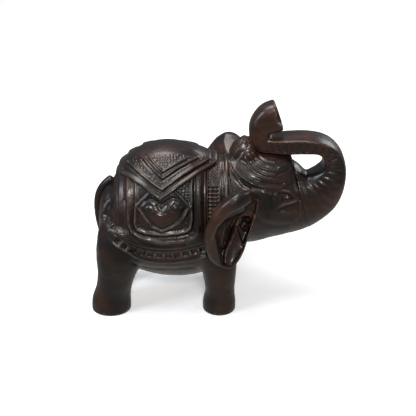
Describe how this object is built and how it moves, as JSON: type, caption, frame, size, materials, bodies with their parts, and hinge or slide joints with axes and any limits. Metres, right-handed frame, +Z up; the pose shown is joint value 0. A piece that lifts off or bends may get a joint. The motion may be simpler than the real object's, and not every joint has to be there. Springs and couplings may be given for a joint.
{
  "type": "elephant figurine",
  "caption": "Standing elephant figurine, trunk curled back over the head, in a draped caparison; rests on the soles of its feet.",
  "frame": {"origin": "on the ground at the middle of the figure's length and width", "axes": "+Z up, +X towards the face and trunk, +Y to the elephant's left"},
  "size_m": [0.1188, 0.0738, 0.1001],
  "materials": {
    "stained_wood": "dark brown stain under gloss varnish",
    "rubbed_wood": "reddish brown stain, rubbed back, under gloss varnish",
    "dowel_wood": "bare",
    "eye_lacquer": "black lacquer, high gloss"
  },
  "bodies": {
    "root": {"body": "stained_wood", "head": "stained_wood", "trunk": "rubbed_wood", "ear_right": "rubbed_wood", "ear_left": "rubbed_wood", "tail": "stained_wood", "saddle_cloth": "stained_wood", "saddle_cover": "stained_wood", "neck_band": "stained_wood", "head_cover": "stained_wood", "eye_right": "eye_lacquer", "eye_left": "eye_lacquer", "head_peg": "dowel_wood", "trunk_peg": "dowel_wood", "ear_peg_right": "dowel_wood", "ear_peg_left": "dowel_wood"}
  },
  "joints": []
}
